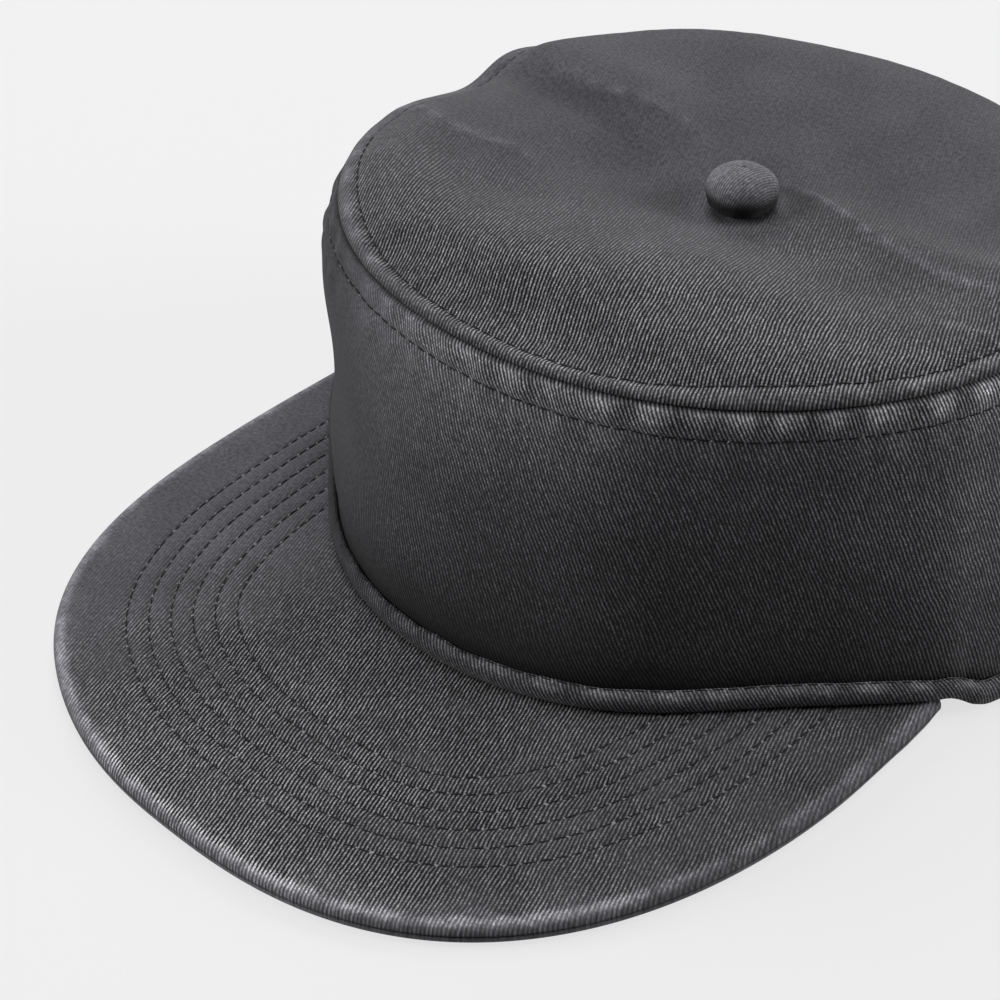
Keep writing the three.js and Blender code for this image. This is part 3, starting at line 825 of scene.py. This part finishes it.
class Net:
    """Short calls for the nodes of one material."""

    def __init__(self, name):
        self.material = bpy.data.materials.new(name)
        self.material.use_nodes = True
        self.tree = self.material.node_tree
        self.shader = self.tree.nodes["Principled BSDF"]

    def node(self, kind, inputs=None, **settings):
        made = self.tree.nodes.new(kind)
        for key, value in settings.items():
            setattr(made, key, value)
        for key, value in (inputs or {}).items():
            self.put(made.inputs[key], value)
        return made

    def put(self, socket, value):
        if isinstance(value, bpy.types.NodeSocket):
            self.tree.links.new(value, socket)
        else:
            socket.default_value = value

    def math(self, operation, *values):
        made = self.node("ShaderNodeMath", dict(enumerate(values)), operation=operation)
        return made.outputs[0]

    def product(self, value, *factors):
        for factor in factors:
            value = self.math("MULTIPLY", value, factor)
        return value

    def stretch(self, vector, by):
        made = self.node("ShaderNodeVectorMath", {0: vector, 1: by}, operation="MULTIPLY")
        return made.outputs[0]

    def attribute(self, name):
        return self.node("ShaderNodeAttribute", attribute_name=name).outputs["Fac"]

    def noise(self, vector, scale, detail=2.0, roughness=0.5):
        made = self.node("ShaderNodeTexNoise", {
            "Vector": vector, "Scale": scale, "Detail": detail, "Roughness": roughness})
        return made.outputs["Fac"]

    def mix(self, factor, a, b):
        made = self.node("ShaderNodeMix", {0: factor, 6: a, 7: b}, data_type="RGBA")
        return made.outputs[2]

    def span(self, value, low, high, to_low=0.0, to_high=1.0):
        made = self.node("ShaderNodeMapRange", {0: value, 1: low, 2: high, 3: to_low, 4: to_high})
        return made.outputs[0]

    def relief(self, height, depth, strength):
        made = self.node("ShaderNodeBump", {
            "Height": height, "Distance": depth, "Strength": strength})
        return made.outputs[0]

    def surface(self, **settings):
        """Sets the shader's sockets, Base_Color= for "Base Color", and gives the material."""
        for key, value in settings.items():
            self.put(self.shader.inputs[key.replace("_", " ")], value)
        return self.material


def grey(level, warm=0.0):
    """Linear colour of an sRGB grey from 0 to 255, a little cool unless warm is set."""
    v = level / 255
    linear = v / 12.92 if v <= 0.04045 else ((v + 0.055) / 1.055) ** 2.4
    return (linear * (1.0 + warm), linear * (0.985 + 0.4 * warm), linear * (1.045 - warm), 1)


def twill(name, rib, groove, worn, angle, pitch=0.745):
    """Washed twill: greys of the ribs, the grooves and the worn ribs, the ribs' direction on the
    cloth map and their distance. Noise scales are per millimetre."""
    net = Net(name)
    cloth = net.node("ShaderNodeUVMap", uv_map="cloth").outputs[0]
    rotation = (0, 0, math.radians(-angle))
    turned = net.node("ShaderNodeMapping", {"Vector": cloth, "Rotation": rotation}).outputs[0]
    split = net.node("ShaderNodeSeparateXYZ", {0: turned})
    along, across = split.outputs[0], split.outputs[1]
    # ribs that sway and shake a little
    sway = net.span(net.noise(cloth, 0.09, 1.0), 0, 1, -0.6, 0.6)
    shake = net.span(net.noise(cloth, 1.0, 2.0, 0.7), 0, 1, -0.22, 0.22)
    place = net.math("DIVIDE", net.math("ADD", net.math("ADD", across, sway), shake), pitch)
    number = net.math("FLOOR", place)
    ridge = net.math("SINE", net.product(net.math("FRACT", place), math.pi))
    # floats of the yarn: beads along each rib, each a little brighter or duller
    shift = net.product(number, BEAD_STAGGER)
    steps = net.math("ADD", net.math("DIVIDE", along, BEAD_LENGTH), shift)
    bead = net.math("SINE", net.product(net.math("FRACT", steps), math.pi))
    key = net.node("ShaderNodeCombineXYZ", {0: number, 1: net.math("FLOOR", steps)}).outputs[0]
    chance = net.node("ShaderNodeTexWhiteNoise", {"Vector": key}).outputs["Value"]
    streak = net.noise(net.stretch(turned, (0.28, 1.3, 1.0)), 1.0, 2.0, 0.6)
    fibre = net.noise(cloth, 7.0, 2.0, 0.7)
    crisp = net.attribute("crisp")
    height = net.product(net.math("POWER", ridge, 1.1), net.span(bead, 0, 1, 0.7, 1.0))
    height = net.math("ADD", height, net.span(fibre, 0.3, 0.7, -0.1, 0.1))
    height = net.product(height, net.span(crisp, 0, 1, 0.3, 1.0))
    # lit is how pale a point of the ribs is, and the dark grooves between them are partly the
    # weave's colour and partly painted shade; where they are flattened it nears its mean
    lit = net.product(
        net.math("POWER", ridge, 4.5),
        net.span(bead, 0, 1, 0.5, 1.0),
        net.span(chance, 0, 1, 0.55, 1.2),
        net.span(streak, 0.3, 0.7, 0.65, 1.3),
        net.span(fibre, 0.3, 0.7, 0.7, 1.3),
    )
    lit = net.product(net.math("SUBTRACT", lit, LIT_MEAN), crisp)
    lit = net.math("ADD", lit, LIT_MEAN)
    lit = net.math("MAXIMUM", net.math("MINIMUM", lit, 1.0), 0.0)
    colour = net.mix(lit, grey(groove), grey(rib))
    rub = net.span(net.noise(cloth, 0.35, 3.0, 0.6), 0.35, 0.65, 0.7, 1.4)
    rubbed = net.product(net.attribute("wear"), rub, net.math("POWER", lit, 0.78))
    colour = net.mix(net.math("MINIMUM", rubbed, 1.0), colour, grey(worn))
    # mottling in three sizes, and the tone attribute with its dye and painted shade, a little bluer
    # where the ribs are flattened
    soft = net.span(net.noise(cloth, 0.055, 4.0, 0.55), 0.3, 0.7, 1 - MOTTLE, 1 + MOTTLE)
    wide = net.span(net.noise(cloth, 0.014, 2.0), 0.3, 0.7, 1 - 0.5 * MOTTLE, 1 + 0.5 * MOTTLE)
    grain = net.span(net.noise(cloth, 1.1, 3.0, 0.65), 0.35, 0.65, 0.68, 1.32)
    shade = net.product(soft, wide, grain, net.attribute("dye_and_shade"))
    bluer = net.product(shade, net.span(crisp, 0, 1, 1.06, 1.0))
    tint_and_shade = net.node("ShaderNodeCombineXYZ", {0: shade, 1: shade, 2: bluer}).outputs[0]
    return net.surface(
        Base_Color=net.stretch(colour, tint_and_shade),
        Roughness=net.span(lit, 0, 1, 0.98, 0.86),
        Specular_IOR_Level=0.2,
        Sheen_Weight=0.08,
        Sheen_Roughness=0.5,
        Normal=net.relief(height, RIB_DEPTH, 1.0),
    )


def thread(name, level, warm=0.0):
    net = Net(name)
    place = net.node("ShaderNodeTexCoord").outputs["Object"]
    twist = {"Vector": place, "Scale": 900.0, "Distortion": 1.0}
    ply = net.node("ShaderNodeTexWave", twist).outputs["Fac"]
    return net.surface(
        Base_Color=net.mix(ply, grey(level * 0.7, warm), grey(level * 1.15, warm)),
        Roughness=0.8,
        Specular_IOR_Level=0.25,
        Normal=net.relief(ply, 0.00005, 0.8),
    )


wall_twill = twill("wall_twill", 158, 12, 200, -60)
panel_twill = twill("panel_twill", 160, 12, 205, -67)
hem_twill = twill("hem_twill", 158, 12, 200, -63)
visor_twill = twill("visor_twill", 164, 14, 210, -70, pitch=0.765)
button_twill = twill("button_twill", 160, 16, 205, -95, pitch=0.66)
dark_thread = thread("dark_thread", 42)
pale_fibre = thread("pale_fibre", 160, 0.03)
washed_thread = thread("washed_thread", 74)

wall = crown_wall()
top = crown_top()
hem = base_hem()
upper_cover = visor_cover("visor_top_cloth", VISOR_SEAM + GAP / 2, VISOR_TOP, 440, 150)
under_cover = visor_cover("visor_under_cloth", VISOR_SEAM - GAP / 2, 0.0, 260, 70)
button = top_button()

for piece, node, slot, material in [
    (wall, "crown_wall", "crown_twill", wall_twill),
    (top, "crown_top", "panel_twill", panel_twill),
    (hem, "base_hem", "crown_twill", hem_twill),
    (upper_cover, "visor_top_cover", "visor_twill", visor_twill),
    (under_cover, "visor_under_cover", "visor_twill", visor_twill),
    (button, "top_button", "panel_twill", button_twill),
]:
    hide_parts(node)
    piece.data.materials.append(material)

ring_angles = np.linspace(-180, 180, 1441)
UP = np.array([0.0, 0.0, 1.0])
UPPER_SPAN = (-62, 92)     # where the upper row stands out; further round it lies flat
FLAT_SPAN = (93, 297)


def wall_at(angle, below):
    foot, top_z = wall_ends(angle)
    return wall_point(angle, 1 - below / (top_z - foot))


def facing(line, outwards):
    """A line with its normals turned the way that outwards(points) says."""
    points, normals = line
    sign = np.sign((normals * outwards(points)).sum(1).mean())
    return points, normals * sign


def panel_line(span, count):
    line = surface_line(top_point, np.linspace(*span, count), UPPER_ROW)
    return facing(line, lambda p: UP)


upper_line = panel_line(UPPER_SPAN, 900)
flat_line = panel_line(FLAT_SPAN, 1100)
lower_line = surface_line(wall_at, ring_angles, lower_row(ring_angles))
lower_line = facing(lower_line, lambda p: p * (1, 1, 0))
# on the hem's upper edge, leaning outwards
hem_top = hem_point(ring_angles, 1.55, 5.22)
hem_top[:, 2] -= 0.05
hem_up = UP + hem_top * (1, 1, 0) / 130
visor_lines, under_lines = [], []
for row in VISOR_ROWS:
    line = visor_line(row)
    d, along = from_edge(line[:, 0], line[:, 1])
    relief = visor_relief(line[:, 0], line[:, 1], d, along)
    up = np.tile(UP, (len(line), 1))
    visor_lines.append((np.column_stack([line, VISOR_TOP + relief]), up))
    low = np.maximum(-UNDER_RELIEF * relief, 0.0) + 0.3
    under_lines.append((np.column_stack([line, low]), -up))

for name, lines, seed, settings in [
    ("stitches_upper", [upper_line], 71, {}),
    ("stitches_flat", [flat_line], 76, {"pale": 0.0, "size": (0.12, 0.07)}),
    ("stitches_lower", [lower_line], 72, {"pale": 0.3}),
    ("stitches_hem", [(hem_top, hem_up)], 73, {"pale": 0.0, "size": (0.15, 0.11)}),
    ("stitches_visor", visor_lines, 74, {"pale": 0.75, "size": (0.16, 0.12)}),
    ("stitches_under", under_lines, 75, {}),
]:
    thing = stitches(name, lines, seed, **settings)
    thing.data.materials.append(washed_thread if name == "stitches_flat" else dark_thread)
    thing.data.materials.append(pale_fibre)

# Floor, light and camera, in metres
FLOOR_HALF = 12.0
FLOOR_LEVEL = -0.0003
FLOOR_GLOW = 0.70
FLOOR_WHITE = 0.17
BACKDROP = 0.86
FLOOR_BOUNCE = 0.43
SKY = 0.0
# right, back and up from the camera's side, size, watts
LAMPS = {
    "above": (0.0, 0.0, 2.0, 1.6, 15.0),
    "behind": (0.0, 1.6, 1.4, 1.4, 22.0),
    "left": (-1.9, 0.0, 0.6, 1.0, 28.0),
    "right": (1.9, 0.0, 0.6, 1.0, 27.0),
}
LAMP_AIM = (0, 0, 0.03)
VIEW_AZIMUTH = math.radians(43.16)
CAMERA_PLACE = np.array([239.3, -293.9, 288.5]) * 0.001
CAMERA_AIM = np.array([0.99, -39.8, 30.0]) * 0.001
CAMERA_LENS = 75.74
SENSOR_WIDTH = 36


def floor():
    s, z = FLOOR_HALF, FLOOR_LEVEL
    mesh = bpy.data.meshes.new("floor")
    mesh.from_pydata([(-s, -s, z), (s, -s, z), (s, s, z), (-s, s, z)], [], [(0, 1, 2, 3)])
    thing = bpy.data.objects.new("floor", mesh)
    bpy.context.scene.collection.objects.link(thing)
    thing.data.materials.append(Net("floor_paint").surface(
        Base_Color=(FLOOR_WHITE, FLOOR_WHITE, FLOOR_WHITE, 1),
        Roughness=0.9,
        Specular_IOR_Level=0.0,
        Emission_Color=(1, 1, 1, 1),
        Emission_Strength=FLOOR_GLOW,
    ))
    # The light that a floor throws back comes from the lower half of the world instead
    thing.visible_diffuse = False
    thing.visible_glossy = False
    thing.visible_shadow = False


def lamp(name, right, back, up, size, power):
    c, s = math.cos(VIEW_AZIMUTH), math.sin(VIEW_AZIMUTH)
    place = Vector((right * c - back * s, right * s + back * c, up))
    data = bpy.data.lights.new(name, "AREA")
    data.shape = "DISK"
    data.size = size
    data.energy = power
    thing = bpy.data.objects.new(name, data)
    thing.location = place
    thing.rotation_euler = (Vector(LAMP_AIM) - place).to_track_quat("-Z", "Y").to_euler()
    thing.visible_camera = False
    bpy.context.scene.collection.objects.link(thing)


def studio():
    """Seen by the camera the world is an even pale grey; its light comes from the floor's half."""
    world = bpy.data.worlds.new("studio")
    world.use_nodes = True
    tree = world.node_tree
    back = tree.nodes["Background"]
    back.inputs[0].default_value = (1, 1, 1, 1)
    way = tree.nodes.new("ShaderNodeTexCoord")
    split = tree.nodes.new("ShaderNodeSeparateXYZ")
    side = tree.nodes.new("ShaderNodeMapRange")
    side.inputs[1].default_value, side.inputs[2].default_value = -0.02, 0.02
    side.inputs[3].default_value, side.inputs[4].default_value = FLOOR_BOUNCE, SKY
    seen = tree.nodes.new("ShaderNodeLightPath")
    pick = tree.nodes.new("ShaderNodeMix")
    pick.inputs[3].default_value = BACKDROP
    tree.links.new(way.outputs["Generated"], split.inputs[0])
    tree.links.new(split.outputs[2], side.inputs[0])
    tree.links.new(seen.outputs["Is Camera Ray"], pick.inputs[0])
    tree.links.new(side.outputs[0], pick.inputs[2])
    tree.links.new(pick.outputs[0], back.inputs[1])
    bpy.context.scene.world = world


def photo_camera():
    camera = bpy.data.objects.new("camera", bpy.data.cameras.new("camera"))
    camera.data.lens = CAMERA_LENS
    camera.data.sensor_width = SENSOR_WIDTH
    camera.data.clip_start = 0.01
    camera.location = CAMERA_PLACE
    way = Vector(CAMERA_AIM - CAMERA_PLACE)
    camera.rotation_euler = way.to_track_quat("-Z", "Y").to_euler()
    bpy.context.scene.collection.objects.link(camera)
    bpy.context.scene.camera = camera


floor()
for lamp_name, row in LAMPS.items():
    lamp(lamp_name, *row)
studio()
bpy.context.scene.view_settings.view_transform = "Standard"
photo_camera()
